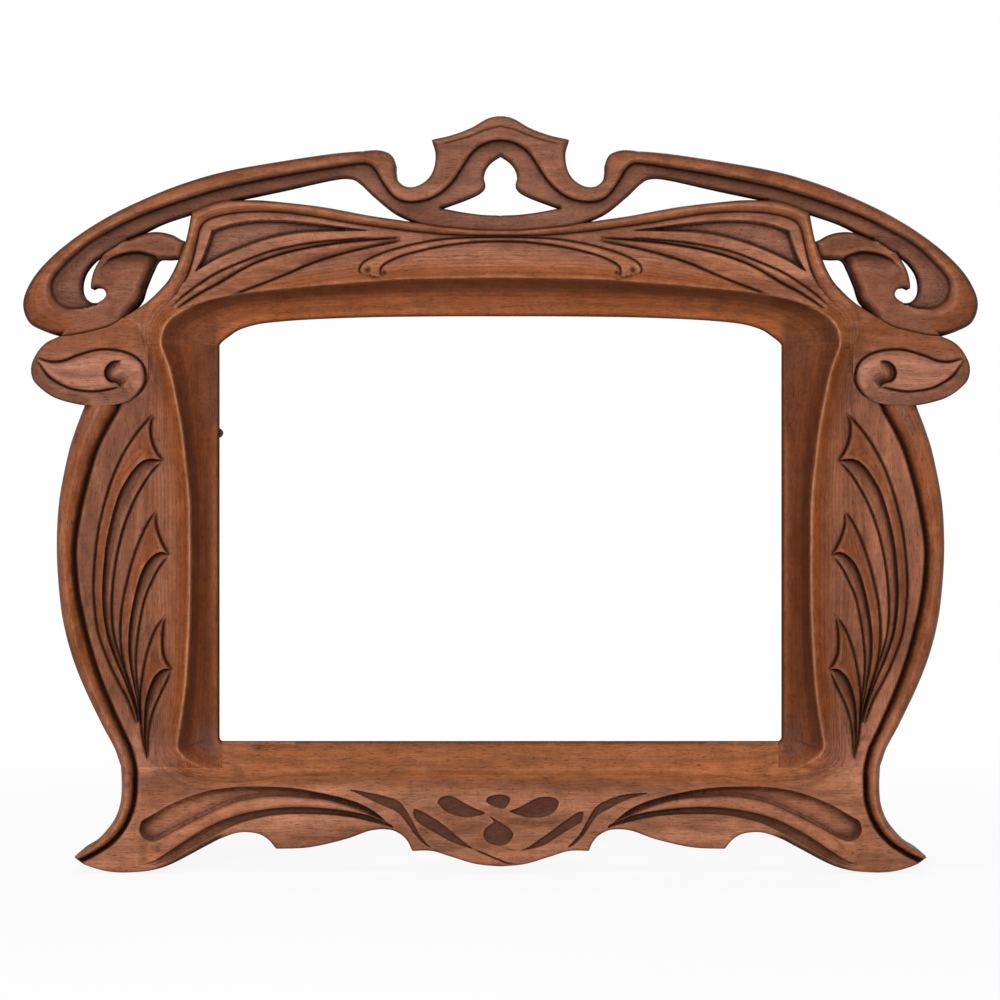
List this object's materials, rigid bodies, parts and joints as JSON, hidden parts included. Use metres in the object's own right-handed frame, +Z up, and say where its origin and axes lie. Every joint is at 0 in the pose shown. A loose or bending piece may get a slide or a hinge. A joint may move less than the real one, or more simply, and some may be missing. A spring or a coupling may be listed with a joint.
{
  "type": "picture frame",
  "caption": "Carved walnut picture frame with whiplash crest, scrolled ears, leaf-carved stiles and pierced cresting; turn buttons and hanging rings on the back",
  "frame": {"origin": "On the line of the feet, in the middle of the width, halfway between the front of the carved ridge and the back of the hangers.", "axes": "+X to the right as the frame is seen on the wall, +Y from the carved front into the wall, +Z up."},
  "size_m": [0.661, 0.0351, 0.5229],
  "materials": {
    "walnut": "carved walnut under an old wax polish",
    "walnut_crest": "carved walnut, slightly greyer",
    "walnut_pegs": "plain turned walnut",
    "button_iron": "blackened iron strip",
    "screw_iron": "darkened iron",
    "hanger_steel": "dulled plated steel",
    "ring_steel": "dulled plated steel wire",
    "screw_steel": "dulled plated steel"
  },
  "bodies": {
    "frame": {"crest": "walnut_crest", "top_rail": "walnut", "bottom_rail": "walnut", "left_stile": "walnut", "right_stile": "walnut", "tenon_pegs": "walnut_pegs", "crest_dowels": "walnut_pegs", "upper_left_button_screw": "screw_iron", "lower_left_button_screw": "screw_iron", "upper_right_button_screw": "screw_iron", "lower_right_button_screw": "screw_iron", "left_hanger_strap": "hanger_steel", "right_hanger_strap": "hanger_steel", "strap_screws": "screw_steel"},
    "upper_left_button": {"upper_left_button": "button_iron"},
    "lower_left_button": {"lower_left_button": "button_iron"},
    "upper_right_button": {"upper_right_button": "button_iron"},
    "lower_right_button": {"lower_right_button": "button_iron"},
    "left_ring": {"left_hanging_ring": "ring_steel"},
    "right_ring": {"right_hanging_ring": "ring_steel"}
  },
  "joints": [
    {"name": "upper_left_button_turn", "type": "hinge", "parent": "frame", "child": "upper_left_button", "pos_m": [-0.2085, 0.01315, 0.30388], "axis": [0, 1, 0], "continuous": true},
    {"name": "lower_left_button_turn", "type": "hinge", "parent": "frame", "child": "lower_left_button", "pos_m": [-0.2085, 0.01315, 0.16988], "axis": [0, 1, 0], "continuous": true},
    {"name": "upper_right_button_turn", "type": "hinge", "parent": "frame", "child": "upper_right_button", "pos_m": [0.2085, 0.01315, 0.30388], "axis": [0, 1, 0], "continuous": true},
    {"name": "lower_right_button_turn", "type": "hinge", "parent": "frame", "child": "lower_right_button", "pos_m": [0.2085, 0.01315, 0.16988], "axis": [0, 1, 0], "continuous": true},
    {"name": "left_ring_swing", "type": "hinge", "parent": "frame", "child": "left_ring", "pos_m": [-0.2325, 0.015, 0.33938], "axis": [1, 0, 0], "range_deg": [0, 180]},
    {"name": "right_ring_swing", "type": "hinge", "parent": "frame", "child": "right_ring", "pos_m": [0.2325, 0.015, 0.33938], "axis": [1, 0, 0], "range_deg": [0, 180]}
  ]
}
